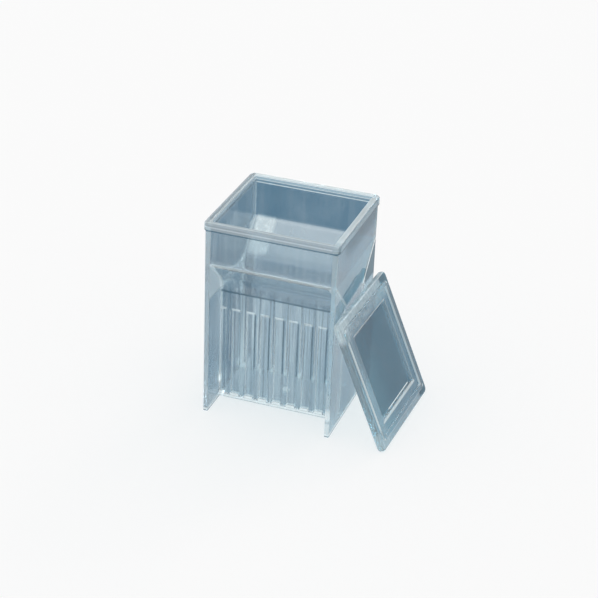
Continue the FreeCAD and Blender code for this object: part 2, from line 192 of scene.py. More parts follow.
# lengths in millimetres, and strengths from 0 to 1; a Step is where a mask starts and is whole,
# a Strip or a Span where a band starts, where it ends and how soft it is, and a Range is a level
# without and with a mask; they count from the feature that the code names, or else from the
# jar's middle and the ground
jar = {
    # heights and half widths of its features
    "halfWidth": 28.0,
    "halfDepth": 28.55,
    "boxWall": 1.5,
    "rimBottom": 90.9,
    "rimTop": 95.0,
    "hopperStart": 75.8,
    "neck": 57.0,
    "slopeUnder": 45.6,
    "tankHalf": 14.95,
    "tankInner": 13.45,
    "ribNose": 11.95,
    "ribTop": 47.05,
    "ribPitch": 6.8,
    "ribHalf": 1.9,
    "floorTop": 2.65,
    "gateRadius": 2.0,
    "beadRatio": 0.77,    # the width of the front bead over that of a side bead
    # where its walls, plates and ribs begin and end
    "plateStep": (-0.4, 0.1),
    "rearStep": (4.0, 12.0),
    "halfStep": (0.0, 1.0),
    "upperStep": (-3.0, -0.5),
    "hopperEnd": 1.8,    # below the hopper's start
    "hopperSoft": 1.2,
    "tankStep": (4.0, -2.0),
    "edgeSoft": 0.3,
    "besideStep": (4.0, -4.0),
    "skinStep": (-0.4, -0.2),
    "skinTopStep": (1.0, 0.0),
    "ribStep": (0.2, 0.0),
    "footStrip": (-0.4, 0.9, 0.2),
    "footNoseStep": (-0.4, 0.0),
    "lipStrip": (-1.9, -0.9, 0.3),
    "lipFrontStep": (13.0, 14.0),
    "beadStep": (-0.1, 0.1),
    # how deep the tint is
    "deepTint": (0.10, 0.20, 0.29, 1.0),
    "rightTint": (0.06, 0.24, 0.37, 1.0),
    "frontTint": 0.05,
    "backTint": 1.0,
    "plateTint": 1.0,
    "hopperTint": 0.08,
    "slopeTint": 0.7,
    "lowSlopeTint": 0.9,
    "lowSlopeEnds": (6.0, 3.0, 1.5),    # below the rib tops, above the neck, and softness
    "tankTint": 0.18,
    "grooveTint": 0.2,
    "lineTint": 0.9,
    "rimTint": 0.75,
    "finTint": 0.85,
    "besideTint": 0.8,
    "deeperSideStep": (-5.0, 5.0),    # of width times depth, in square millimetres
    "deeperNeckStep": (-3.0, 3.0),
    "underTint": 0.5,
    "underStep": (0.5, 0.2),
    # fine upright streaks: dark ones in the tint and light ones in the bloom; their Steps are
    # levels of the pattern
    "darkStreaks": 0.45,
    "darkPattern": ((1.1, 1.1, 0.03), 3.0, 17.0),
    "darkStep": (0.46, 0.66),
    "streaks": 0.13,
    "streakRange": (0.5, 1.0),
    "finePattern": ((1.6, 1.6, 0.035), 3.0, 11.0),
    "fineStep": (0.50, 0.72),
    "fineShare": 0.6,
    "coarsePattern": ((0.45, 0.45, 0.02), 2.0, 5.0),
    "coarseStep": (0.48, 0.70),
    "coarseShare": 0.7,
    # the thin bloom all over, a painted reflection of light along the rear slope, and the rubbed patches
    "veil": 0.01,
    "frontVeil": 0.02,
    "plateVeil": 0.01,
    "tankVeil": 0.015,
    "slopeReflection": 0.12,
    "slopeReflectionStep": (60.0, 64.0),
    "lowVeil": 0.05,
    "lowVeilStep": (20.0, 12.0),
    "haze": 0.05,
    "hazeStep": (14.0, 27.0),
    "hazeRange": (0.5, 1.5),
    "scuff": 0.5,
    "scuffRange": (0.75, 1.15),
    "scuffStrip": (1.4, 10.5, 1.0),
    "scuffSpan": (61.5, 74.8, 1.2),
    "scuffRearStep": (8.0, 12.0),
    "scuffFoot": 0.14,
    "scuffFootStrip": (1.0, 6.5, 0.8),
    "scuffFootSpan": (54.0, 62.0, 1.0),
    "scuffFootRearStep": (4.0, 8.0),
    # painted light on the bead, at a level for each side, and its lines of painted highlight
    "leftRim": 0.16,
    "frontRim": 0.28,
    "rightRim": 0.45,
    "backRim": 0.6,
    "crownStep": (-1.2, -0.5),
    "crownRange": (0.8, 1.0),
    "outsideStep": (1.3, 1.6),
    "endStep": (24.0, 26.5),
    "backWidthStep": (1.0, 0.0),
    "rightStep": (-0.3, 0.0),
    "mouthLine": 0.2,
    "mouthRightShare": 0.3,
    "mouthSpans": ((-0.1, 0.4, 0.15), (1.4, 1.8, 0.15)),
    "faceStrip": (1.9, 2.4, 0.3),
    "backLine": 0.6,
    "backLineStrips": ((-2.3, -1.9, 0.12), (-3.7, -3.2, 0.12)),
    "behindStrip": (-1.4, -0.9, 0.15),
    "behindStep": (-1.9, -2.2),
    # painted highlights along edges, bends and corners
    "edgeHighlight": 0.3,
    "edgeRange": (0.6, 1.0),
    "edgeStep": (-0.9, -0.4),
    "edgeTopStep": (0.0, -0.5),
    "edgeLine": 0.12,
    "edgeStrip": (0.0, 0.4, 0.12),
    "bendHighlight": 0.1,
    "bendStrip": (-2.2, 0.9, 0.4),
    "bendFrontStep": (25.5, 26.5),
    "slopeLine": 0.95,
    "slopeRange": (0.25, 1.0),
    "slopeStrip": (-0.2, 1.8, 0.25),
    "slopeLineEnds": (1.0, 1.5, 0.8),    # above the neck, below the hopper's start, and softness
    "slopeRearStep": (0.0, 5.0),
    "boxLine": 0.25,
    "boxStrip": (-1.6, -1.1, 0.2),
    "tankLineInset": 0.4,
    "tankLineSoft": 0.25,
    "cornerHighlight": 0.42,
    "hopperCorner": 0.8,
    "cornerStrip": (-0.8, 0.1, 0.15),
    "tankEnds": (0.2, 0.2, 0.2),    # past the rib noses, past the tank's inner face, and softness
    "boxCorner": 0.14,
    "boxCornerSpan": (23.4, 26.6, 0.4),
    "besideLine": 0.25,
    "besideStrip": (-1.6, -0.9, 0.2),
    "besideFrontStep": (12.0, 14.0),
    "rearCorner": 1.0,
    "rearCornerStep": (-2.3, -1.8),
    "rearCornerTopStep": (70.0, -10.0),
    # painted glints at the foot of the left-hand corners, each with its middle and half size, and on the gate
    "glint": 1.0,
    "glintSpots": (((-13.5, 10.0), (2.4, 4.2)), ((11.2, 5.5), (2.0, 2.6))),
    "glintEdge": (1.1, 0.2),
    "glintStep": (-0.9, -0.6),
    "gateEdge": (1.2, 0.8),
    "gateTopStep": (4.0, 3.0),
    # painted highlights on the ribs, under the floor and at the feet
    "noseEnds": (0.2, 0.3, 0.15),    # past the rib noses, past the tank's inner face, and softness
    "noseTopStep": (0.3, -0.2),
    "ribEdgeHighlight": 0.2,
    "ribEdgeStrip": (0.0, 0.4, 0.12),
    "ribEdgeTopStep": (1.4, 0.9),
    "grooveLine": 0.25,
    "grooveStrip": (-1.1, -0.7, 0.12),
    "grooveFoot": 20.0,
    "grooveSoft": 0.8,
    "ribTopHighlight": 0.22,
    "ribTopStep": (-1.9, -1.2),
    "ribTopStrip": (-0.8, 0.4, 0.5),
    "spotStrip": (-0.7, 0.4, 0.2),
    "spotTopStep": (6.0, 3.5),
    "footHighlight": 0.74,
    "floorStep": (-0.3, -0.6),
    "floorEdgeStep": (-1.2, -0.8),
    "floorRange": (0.55, 1.0),
    "floorRangeStep": (0.9, 1.3),
    "feetTopStep": (1.9, 1.3),
    "feetUnderStep": (0.2, 0.5),
    "feetFront": 0.85,
    "feetFrontStep": (9.0, 6.0),
    "feetFrontSpan": (7.5, 14.0, 2.5),
    "feetRange": (0.35, 1.0),
    "feetRangeStep": (-1.0, 1.0),
    # painted shade: dark lines and shades
    "lineDim": 0.6,
    "underBeadStrip": (-0.3, 0.7, 0.15),
    "outlineDim": 0.8,
    "outlineStep": (-0.9, -0.6),
    "outlineSideStep": (1.85, 2.0),
    "faceDim": 0.2,
    "faceStep": (2.3, 2.9),
    "faceCrownShare": 0.5,
    "faceBloomShare": 0.2,
    "besideDim": 0.35,
    "besideRibStrip": (0.3, 1.1, 0.2),
    "besideRibEnds": (19.0, 0.5, 0.8),    # height of its foot, below the rib tops, and softness
    "besideRibStep": (-17.0, -16.0),
    "lipDim": 0.35,
    "upperDim": 0.42,
    "upperDimStep": (-26.0, -8.0),
    "leftDim": 0.16,
    "leftDimUpSpan": (60.0, 79.0, 2.0),
    "leftDimAcrossSpan": (-24.0, 20.0, 3.0),
    "finDim": 0.72,
    "finDimStep": (55.0, 58.0),
    "footDim": 0.5,
    "plateFootStep": (0.5, 0.35),
    "skinFootStep": (1.0, 0.8),
}


# masks of the jar's walls, plates and features, and how far a point is from some of them
def jarZones(place):
    x, y, z = split(place)
    side, depth, toFront = abs(x), abs(y), -1 * y
    soft, rearStep, halfStep = jar["edgeSoft"], jar["rearStep"], jar["halfStep"]
    plate, rear = step(side, jar["halfWidth"], jar["plateStep"]), rise(y, *rearStep)
    frontHalf = rise(toFront, *halfStep)
    underSlope = step(z - depth, jar["slopeUnder"], (soft, -soft))
    besideTank = step(depth, jar["tankHalf"], (soft, -soft)) * step(z, jar["neck"], jar["besideStep"])
    skin = step(depth, jar["tankHalf"], jar["skinStep"]) * step(z, jar["neck"], jar["skinTopStep"])
    fromRib = x.node("ShaderNodeMath", {"operation": "WRAP"}, {
        0: x, 1: jar["ribPitch"] / 2, 2: -jar["ribPitch"] / 2,
    })
    mouthHalf = jar["halfDepth"] - jar["boxWall"]
    foot = strip(z, jar["floorTop"], jar["footStrip"])
    # a line of painted shade down the right-hand side of each rib
    lineFoot, lineShort, lineSoft = jar["besideRibEnds"]
    besideRib = strip(fromRib, jar["ribHalf"], jar["besideRibStrip"]) * skin * frontHalf
    besideRib = besideRib * band(z, lineFoot, jar["ribTop"] - lineShort, lineSoft)
    return {
        "x": x, "y": y, "z": z, "side": side, "depth": depth, "toFront": toFront, "toLeft": -1 * x,
        "plate": plate, "wall": 1 - plate, "rear": rear, "front": 1 - rear,
        "rightHalf": rise(x, *halfStep), "rearHalf": rise(y, *halfStep), "frontHalf": frontHalf,
        # how far out from the mouth, with the wider side beads brought to the same measure
        "out": (side - jar["halfWidth"]) * jar["beadRatio"] | (depth - mouthHalf),
        "bead": step(z, jar["rimBottom"], jar["beadStep"]),
        "upper": step(z, jar["hopperStart"], jar["upperStep"]),
        "hopper": band(z, jar["neck"], jar["hopperStart"] - jar["hopperEnd"], jar["hopperSoft"]),
        "tank": step(z, jar["neck"], jar["tankStep"]),
        "fin": underSlope * step(depth, jar["tankHalf"], (-soft, soft)),
        "skin": skin, "underSlope": underSlope, "besideTank": besideTank, "fromRib": fromRib,
        "onRib": step(abs(fromRib), jar["ribHalf"], jar["ribStep"]),
        "foot": foot * step(toFront, jar["ribNose"], jar["footNoseStep"]),
        # a line of painted shade just below the neck, at the front
        "lip": strip(z, jar["neck"], jar["lipStrip"]) * rise(toFront, *jar["lipFrontStep"]),
        "besideRib": besideRib * rise(x, *jar["besideRibStep"]),
        "darkStreak": jar["darkStreaks"] * rise(noise(place, *jar["darkPattern"]), *jar["darkStep"]),
    }


# tint, painted highlight and painted shade marks of the bead round the mouth
def rimFinish(zone):
    x, z, out, bead = (zone[name] for name in ("x", "z", "out", "bead"))
    bottom, top, halfWidth = jar["rimBottom"], jar["rimTop"], jar["halfWidth"]
    crown = step(z, top, jar["crownStep"])
    outside = rise(out, *jar["outsideStep"])
    atFront = rise(zone["toFront"], *jar["endStep"])
    atBack = rise(zone["y"], *jar["endStep"]) * step(zone["side"], halfWidth, jar["backWidthStep"])
    atRight = step(x, halfWidth, jar["rightStep"])
    # painted shade in dark lines: under the bead, along the left outer edge of its crown, and across its back
    dark = outside * strip(z, bottom, jar["underBeadStrip"]) * (1 - atBack)
    outline = step(z, top, jar["outlineStep"]) * rise(out, *jar["outlineSideStep"])
    outline = outline * (1 - atFront) * (1 - atRight) * (1 - atBack)
    behind = strip(z, top, jar["behindStrip"]) | step(z, top, jar["behindStep"])
    tint = dark * jar["lineTint"] | bead * jar["rimTint"] * (1 - atBack) | behind * bead * atBack
    # a painted shade on the outer face of the right-hand bead, which also takes some of its painted light
    rightFace = bead * step(x, halfWidth, jar["faceStep"]) * (1 - crown * jar["faceCrownShare"])
    # painted light: each side of the bead has its own level of paleness, and the crown is palest
    level = between(atFront, jar["leftRim"], jar["frontRim"])
    level = between(atRight * (1 - atFront), level, jar["rightRim"])
    light = bead * level * between(crown, *jar["crownRange"])
    light = light * between(rightFace, 1.0, jar["faceBloomShare"])
    # painted highlights in thin lines: at the mouth, on the outer edge of the crown and along the outer face
    first, second = (band(out, *span) for span in jar["mouthSpans"])
    lines = crown * (first | second) | outside * strip(z, bottom, jar["faceStrip"])
    light = light + lines * jar["mouthLine"] * between(atRight, 1.0, jar["mouthRightShare"])
    # and two painted highlight lines across its back, where the crown is painted palest
    first, second = (strip(z, top, triple) for triple in jar["backLineStrips"])
    backLight = (first | second) * zone["wall"] * jar["backLine"] | crown * jar["backRim"]
    hazeAndHighlight = light * (1 - (dark | outline)) * (1 - atBack) | backLight * atBack
    paintedShade = dark * jar["lineDim"] | outline * jar["outlineDim"] | rightFace * jar["faceDim"]
    return tint, hazeAndHighlight, paintedShade


def jarTint(zone):
    z, wall, rear, streaks = zone["z"], zone["wall"], zone["rear"], zone["darkStreak"]
    belowBead = 1 - zone["bead"]
    tint = wall * zone["upper"] * belowBead * between(rear, jar["frontTint"], jar["backTint"])
    tint = tint | wall * zone["hopper"] * between(rear, jar["hopperTint"], jar["slopeTint"])
    below, above, soft = jar["lowSlopeEnds"]
    lowSlope = band(z, jar["ribTop"] - below, jar["neck"] + above, soft)
    tint = tint | wall * rear * lowSlope * jar["lowSlopeTint"]
    tint = tint | wall * zone["tank"] * (jar["tankTint"] + streaks)
    # the lip and rib lines of painted shade also deepen the tint
    lines = (zone["lip"] | zone["besideRib"]) * jar["lineTint"]
    tint = tint | wall * (lines | zone["foot"] * (1 - zone["onRib"]) * jar["grooveTint"])
    # the fins on one diagonal are the deeper ones
    deeper = rise(zone["x"] * zone["y"], *jar["deeperSideStep"])
    deeper = deeper | step(z, jar["neck"], jar["deeperNeckStep"])
    fin = zone["fin"] * between(deeper, jar["besideTint"], jar["finTint"])
    upperPlate = (1 - (zone["fin"] | zone["besideTank"])) * belowBead
    plate = upperPlate * jar["plateTint"] | fin | zone["besideTank"] * (jar["besideTint"] + streaks)
    plate = plate | rise(z, *jar["underStep"]) * jar["underTint"]
    return tint | plate * zone["plate"]


def jarHazeAndPaintedReflection(zone, place):
    x, y, z, wall, plate = (zone[name] for name in ("x", "y", "z", "wall", "plate"))
    streak = rise(noise(place, *jar["finePattern"]), *jar["fineStep"]) * jar["fineShare"]
    streak = streak + rise(noise(place, *jar["coarsePattern"]), *jar["coarseStep"]) * jar["coarseShare"]
    veil = jar["veil"] + plate * jar["plateVeil"] + wall * zone["tank"] * jar["tankVeil"]
    # a painted reflection of light along the rear slope, where it faces up
    slope = wall * zone["hopper"] * zone["rear"] * rise(z, *jar["slopeReflectionStep"])
    front = wall * (zone["upper"] | zone["hopper"]) * zone["front"]
    veil = veil + slope * jar["slopeReflection"] + front * jar["frontVeil"]
    scuff = strip(x, -jar["halfWidth"], jar["scuffStrip"]) * band(z, *jar["scuffSpan"])
    scuff = scuff * rise(y, *jar["scuffRearStep"]) * between(streak, *jar["scuffRange"])
    scuffFoot = strip(x, -jar["halfWidth"], jar["scuffFootStrip"]) * band(z, *jar["scuffFootSpan"])
    scuffFoot = scuffFoot * rise(y, *jar["scuffFootRearStep"]) * wall
    veil = veil + scuff * jar["scuff"] + scuffFoot * jar["scuffFoot"]
    veil = veil + zone["skin"] * rise(z, *jar["lowVeilStep"]) * jar["lowVeil"]
    # the right-hand plate is hazier towards its front edge
    haze = plate * zone["rightHalf"] * rise(zone["toFront"], *jar["hazeStep"])
    veil = veil + haze * between(streak, *jar["hazeRange"]) * jar["haze"]
    return veil + jar["streaks"] * streak * between(zone["tank"] | plate, *jar["streakRange"])


# painted highlights: bright lines where the walls, the plates and the bends meet
def boxHighlights(zone):
    y, z, side, depth, toLeft = (zone[name] for name in ("y", "z", "side", "depth", "toLeft"))
    wall, plate, upper, hopper, tank = (zone[name] for name in ("wall", "plate", "upper", "hopper", "tank"))
    halfWidth, halfDepth = jar["halfWidth"], jar["halfDepth"]
    atEdge = step(depth, halfDepth, jar["edgeStep"]) * step(z, jar["rimBottom"], jar["edgeTopStep"])
    edgeLine = strip(side, halfWidth, jar["edgeStrip"]) * atEdge * upper
    hazeAndHighlight = plate * atEdge * between(upper, *jar["edgeRange"]) * jar["edgeHighlight"]
    bend = strip(z, jar["hopperStart"], jar["bendStrip"]) * rise(zone["toFront"], *jar["bendFrontStep"])
    hazeAndHighlight = hazeAndHighlight | edgeLine * jar["edgeLine"] | bend * wall * jar["bendHighlight"]
    # painted highlights where the front and back walls run into the side plates
    above, below, soft = jar["slopeLineEnds"]
    slopeLine = strip(z - depth, jar["slopeUnder"], jar["slopeStrip"])
    slopeLine = slopeLine * band(z, jar["neck"] + above, jar["hopperStart"] - below, soft)
    slopeLine = slopeLine * between(rise(y, *jar["slopeRearStep"]), *jar["slopeRange"])
    inset, soft = jar["tankLineInset"], jar["tankLineSoft"]
    tankLine = band(depth, jar["tankInner"] + inset, jar["tankHalf"] - inset, soft) * tank
    boxLine = strip(depth, halfDepth, jar["boxStrip"]) * upper
    hazeAndHighlight = hazeAndHighlight | (slopeLine * jar["slopeLine"] | (boxLine | tankLine) * jar["boxLine"]) * plate
    # and painted highlights in the corners between walls and plates
    inside, outside, soft = jar["tankEnds"]
    inTank = band(depth, jar["ribNose"] - inside, jar["tankInner"] + outside, soft) * tank
    corner = strip(side, halfWidth, jar["cornerStrip"]) * (inTank | hopper * jar["hopperCorner"])
    inBox = band(y, *jar["boxCornerSpan"]) * upper * plate
    hazeAndHighlight = hazeAndHighlight | corner * jar["cornerHighlight"] | inBox * jar["boxCorner"]
    beside = strip(side, halfWidth, jar["besideStrip"]) * rise(zone["toFront"], *jar["besideFrontStep"])
    rearCorner = step(toLeft, halfWidth, jar["rearCornerStep"]) * zone["rearHalf"] * inTank
    rearCorner = rearCorner * rise(z, *jar["rearCornerTopStep"])
    hazeAndHighlight = hazeAndHighlight | beside * wall * hopper * jar["besideLine"] | rearCorner * jar["rearCorner"]
    # painted glints at the foot of the left-hand corners
    first, second = (oval(y, z, *spot, jar["glintEdge"]) for spot in jar["glintSpots"])
    return hazeAndHighlight | (first | second) * step(toLeft, halfWidth, jar["glintStep"]) * jar["glint"]


# painted highlights: bright lines on the ribs and under the tank's floor, and painted glints at the rear
# ribs' feet
def ribHighlights(zone):
    z, depth, fromRib, skin, onRib = (zone[name] for name in ("z", "depth", "fromRib", "skin", "onRib"))
    frontHalf, ribTop, ribHalf = zone["frontHalf"], jar["ribTop"], jar["ribHalf"]
    inside, outside, soft = jar["noseEnds"]
    inner = band(depth, jar["ribNose"] - inside, jar["tankInner"] + outside, soft)
    inner = inner * step(z, ribTop, jar["noseTopStep"])
    leftEdge = skin * frontHalf * step(z, ribTop, jar["ribEdgeTopStep"]) | inner
    leftEdge = leftEdge * strip(fromRib, -ribHalf, jar["ribEdgeStrip"])
    groove = strip(fromRib, -ribHalf, jar["grooveStrip"]) * skin * frontHalf
    groove = groove * band(z, jar["grooveFoot"], ribTop, jar["grooveSoft"])
    hazeAndHighlight = leftEdge * jar["ribEdgeHighlight"] | groove * jar["grooveLine"]
    cap = inner * step(z, ribTop, jar["ribTopStep"]) * frontHalf
    cap = cap | skin * strip(z, ribTop, jar["ribTopStrip"])
    hazeAndHighlight = hazeAndHighlight | onRib * (cap * jar["ribTopHighlight"] | zone["foot"] * jar["footHighlight"])
    spots = inner * zone["rearHalf"] * strip(fromRib, ribHalf, jar["spotStrip"])
    hazeAndHighlight = hazeAndHighlight | spots * rise(z, *jar["spotTopStep"]) * jar["glint"]
    underFloor = step(z, jar["floorTop"], jar["floorStep"])
    underFloor = underFloor * step(depth, jar["tankHalf"], jar["floorEdgeStep"])
    underFloor = underFloor * between(rise(z, *jar["floorRangeStep"]), *jar["floorRange"])
    return (hazeAndHighlight | underFloor * jar["footHighlight"]) * zone["wall"]


# painted highlights on the plates' feet, and a painted glint on the gate
def footAndGateHighlights(zone):
    x, y, z = zone["x"], zone["y"], zone["z"]
    atFront = step(zone["toFront"], jar["halfDepth"], jar["edgeStep"])
    atFront = atFront * between(rise(x, *jar["feetRangeStep"]), *jar["feetRange"])
    ends = band(z, *jar["feetFrontSpan"]) | rise(z, *jar["feetFrontStep"]) * jar["feetFront"]
    feet = rise(z, *jar["feetTopStep"]) * rise(z, *jar["feetUnderStep"]) | atFront * ends
    gate = oval(x, y, (0.0, 0.0), (jar["gateRadius"], jar["gateRadius"]), jar["gateEdge"])
    gate = gate * rise(z, *jar["gateTopStep"])
    return feet * zone["plate"] * jar["footHighlight"] | gate * jar["glint"]


# painted shade: dark thin lines and soft shades, apart from those of the bead
def jarPaintedShade(zone):
    y, z, wall, plate = (zone[name] for name in ("y", "z", "wall", "plate"))
    paintedShade = wall * (zone["besideRib"] * jar["besideDim"] | zone["lip"] * jar["lipDim"])
    # painted shade over the upper right-hand plate, its narrow rear part beside the slope, and the left-hand
    # plate above the slope
    rightPlate = plate * zone["rightHalf"]
    upperShade = rightPlate * rise(z, jar["hopperStart"], jar["rimBottom"]) * (1 - zone["bead"])
    upperShade = upperShade * rise(y, *jar["upperDimStep"])
    finShade = rightPlate * zone["fin"] * zone["rearHalf"] * rise(z, *jar["finDimStep"])
    leftShade = plate * rise(zone["toLeft"], *jar["halfStep"]) * (1 - zone["underSlope"])
    leftShade = leftShade * band(z, *jar["leftDimUpSpan"]) * band(y, *jar["leftDimAcrossSpan"])
    paintedShade = paintedShade | upperShade * jar["upperDim"] | finShade * jar["finDim"] | leftShade * jar["leftDim"]
    # a thin line of painted shade along the lowest edges
    footLine = plate * rise(z, *jar["plateFootStep"])
    footLine = footLine | wall * zone["skin"] * rise(z, *jar["skinFootStep"])
    return paintedShade | footLine * jar["footDim"]


def jarPlastic():
    material, start = newMaterial("jarPlastic")
    metres = start.node("ShaderNodeTexCoord", None, None, "Object")
    scale = 1 / millimetre
    place = start.node("ShaderNodeMapping", None, {"Vector": metres, "Scale": (scale, scale, scale)})
    zone = jarZones(place)
    rimTint, rimHighlight, rimPaintedShade = rimFinish(zone)
    hazeAndHighlight = jarHazeAndPaintedReflection(zone, place) | rimHighlight | boxHighlights(zone) | ribHighlights(zone) | footAndGateHighlights(zone)
    deepTint = blend(zone["rightHalf"] * zone["plate"], jar["deepTint"], jar["rightTint"])
    finishPlastic(start, place, deepTint, jarTint(zone) | rimTint, hazeAndHighlight, rimPaintedShade | jarPaintedShade(zone))
    return material


# the lid has a frame of its own at the middle of its outer face, which leans and turns by these
# degrees; the rest is laid out as the jar's values are
lid = {
    "lean": 66.7,
    "turn": 2.5,
    "halfWidth": 31.45,
    "halfDepth": 29.8,
    "flange": 3.0,
    "corner": 2.6,
    "edgeRound": 1.0,
    "plugOuter": (27.7, 26.75),
    "plugWall": 2.5,
    "plugCorner": 2.0,
    "panelMargin": 9.9,
    "panelSlope": 1.8,
    # where its parts begin and end
    "panelStep": (-0.3, 0.2),
    "innerStep": (0.5, 1.0),
    "edgeStep": (0.0, -0.4),
    "endStep": (20.0, 24.0),
    "nearStep": (18.0, 22.0),
    "farEdgeStep": (15.0, 22.0),
    # how deep the tint is, and its deep colours on the near and the far side
    "flatTint": 0.95,
    "panelTint": 1.0,
    "nearTint": (0.09, 0.25, 0.345, 1.0),
    "deepTint": (0.04, 0.15, 0.235, 1.0),
    "deepTintStep": (-18.0, 2.0),
    "upperTintShare": 0.2,
    # the thin bloom all over, in streaks along the lid, and its upper end
    "streaks": 0.08,
    "streakPattern": ((0.05, 1.4, 1.4), 3.0, 2.0),
    "streakStep": (0.5, 0.72),
    "streakRange": (0.6, 1.4),
    "flatRange": (0.3, 1.0),
    "outerRange": (1.0, 0.3),
    "lowVeil": 0.07,
    "nearVeil": 0.12,
    "endBloom": 0.14,
    "upperBloom": 0.3,
    "mottlePattern": ((0.5, 0.25, 0.5), 3.0, 9.0),
    "mottleStep": (0.3, 0.75),
    "mottleRange": (0.3, 0.65),
    # painted highlights on the plug and the flange
    "ringHighlight": 0.08,
    "ringSoft": 0.1,
    "plugStep": (-0.1, 0.1),
    "crestHighlight": 0.58,
    "outerSpan": (-0.2, 0.5, 0.12),
    "innerStrip": (-0.4, 0.4, 0.15),
    "innerLineStep": (-0.15, -0.05),
    "innerLineRange": (0.35, 0.8),
    "upperFading": 0.75,
    "lowFading": 0.5,
    "flangeHighlight": 0.15,
    "flangeStep": (1.1, 0.5),
    "cornerHighlight": 0.5,
    "cornerStep": (0.2, 0.7),
    "cornerSpan": (-0.2, 1.0, 0.2),
    # painted highlights on the panel's sloping border
    "borderHighlight": 0.1,
    "borderSpare": 0.1,
    "borderSoft": 0.15,
    "borderLine": 0.25,
    "borderStrip": (-0.2, 0.3, 0.15),
    "upperLine": 0.65,
    "upperStrip": (-1.5, -1.1, 0.15),
    "upperEndsStep": (-1.4, -0.8),
    "lowBorderHighlight": 0.95,
    "lowStrip": (-0.1, 0.4, 0.15),
    "lowSpan": (-10.5, 15.8, 0.5),
    "broadLine": 0.55,
    "broadEnds": (0.3, 0.9, 0.4),    # outside the margin, short of the panel, and softness
    "broadEndsStep": (-1.6, -0.3),
    # painted shade marks
    "farDim": 0.65,
    "farDimStep": (0.6, 1.1),
    "lineDim": 0.5,
    "shadeStrip": (-0.65, -0.3, 0.1),
    "shadeSpan": (-11.5, 16.8, 0.5),
    "panelDim": 0.25,
}


# the middle of the lid's outer face: from where its round corner and its lower edge touch
def lidMiddle():
    low, high = (Vector(corner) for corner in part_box("lid"))
    lean, turn = math.radians(lid["lean"]), math.radians(lid["turn"])
    halfWidth, corner, edge = lid["halfWidth"], lid["corner"], lid["edgeRound"]
    run = math.cos(turn) * math.cos(lean)
    reach = (halfWidth - corner) * run + (lid["halfDepth"] - corner) * math.sin(turn)
    reach = reach + (corner - edge) * math.hypot(run, math.sin(turn))
    reach = reach + edge * (1 - math.cos(turn) * math.sin(lean))
    up = (halfWidth - edge) * math.sin(lean) + edge * (1 - math.cos(lean))
    return low.x + millimetre * reach, (low.y + high.y) / 2, millimetre * up


# masks of the lid's plug, panel and ends, and how far a point is from some of them
def lidZones(place):
    x, y, z = split(place)
    fromSide = lid["halfDepth"] - abs(y)
    inset = (lid["halfWidth"] - abs(x)) & fromSide
    # how far inside the plug's outer wall, round corners and all
    past = [abs(axis) - (half - lid["plugCorner"]) for axis, half in zip((x, y), lid["plugOuter"])]
    across, along = (way | 0.0 for way in past)
    away = x.node("ShaderNodeMath", {"operation": "SQRT"}, {0: across * across + along * along})
    within = lid["plugCorner"] - away - ((past[0] | past[1]) & 0.0)
    panel = step(inset, lid["panelMargin"] + lid["panelSlope"], lid["panelStep"])
    return {
        "y": y, "z": z, "inset": inset, "within": within,
        "fromLow": lid["halfWidth"] - x, "fromTop": lid["halfWidth"] + x, "fromSide": fromSide,
        "panel": panel, "flat": 1 - panel,
        "inner": rise(z, *lid["innerStep"]), "edge": rise(within, *lid["edgeStep"]),
        "atCorner": rise(across & along, *lid["cornerStep"]),
        "farSide": rise(y, *lid["endStep"]), "farEdge": rise(y, *lid["farEdgeStep"]),
        "nearSide": rise(-1 * y, *lid["nearStep"]),
        "upperEnd": rise(-1 * x, *lid["endStep"]), "lowEnd": rise(x, *lid["endStep"]),
    }


def lidVeil(zone, place):
    edge, flat, upperEnd, lowEnd = (zone[name] for name in ("edge", "flat", "upperEnd", "lowEnd"))
    streak = rise(noise(place, *lid["streakPattern"]), *lid["streakStep"])
    veil = lid["streaks"] * streak * between(flat, *lid["flatRange"])
    veil = veil * between(edge * (zone["farEdge"] | lowEnd), *lid["outerRange"])
    streaked = flat * between(streak, *lid["streakRange"])
    veil = veil + streaked * zone["inner"] * lowEnd * lid["lowVeil"]
    veil = veil + streaked * zone["nearSide"] * lid["nearVeil"] + edge * (lowEnd | upperEnd) * lid["endBloom"]
    mottle = between(rise(noise(place, *lid["mottlePattern"]), *lid["mottleStep"]), *lid["mottleRange"])
    return veil + upperEnd * flat * mottle * lid["upperBloom"]


# painted highlights: bright lines on the plug and along the flange
def plugHighlights(zone):
    z, within, farSide, plugWall = zone["z"], zone["within"], zone["farSide"], lid["plugWall"]
    onPlug = step(z, lid["flange"], lid["plugStep"])
    soft = lid["ringSoft"]
    ring = band(within, -soft, plugWall + soft, soft) * onPlug
    outerLine = band(within, *lid["outerSpan"]) * onPlug * (1 - farSide)
    innerLine = strip(within, plugWall, lid["innerStrip"]) * step(z, lid["flange"], lid["innerLineStep"])
    crest = outerLine | innerLine * between(farSide, *lid["innerLineRange"])
    fading = lid["upperFading"] * zone["upperEnd"] | lid["lowFading"] * zone["lowEnd"]
    crest = crest * (1 - fading * (1 - farSide))
    flange = rise(zone["inset"], *lid["flangeStep"]) * (1 - farSide)
    hazeAndHighlight = ring * lid["ringHighlight"] | crest * lid["crestHighlight"] | flange * lid["flangeHighlight"]
    # painted glints on the four corners of the plug, where the light catches them
    corner = band(within, *lid["cornerSpan"]) * zone["atCorner"] * zone["inner"]
    return hazeAndHighlight | corner * lid["cornerHighlight"]


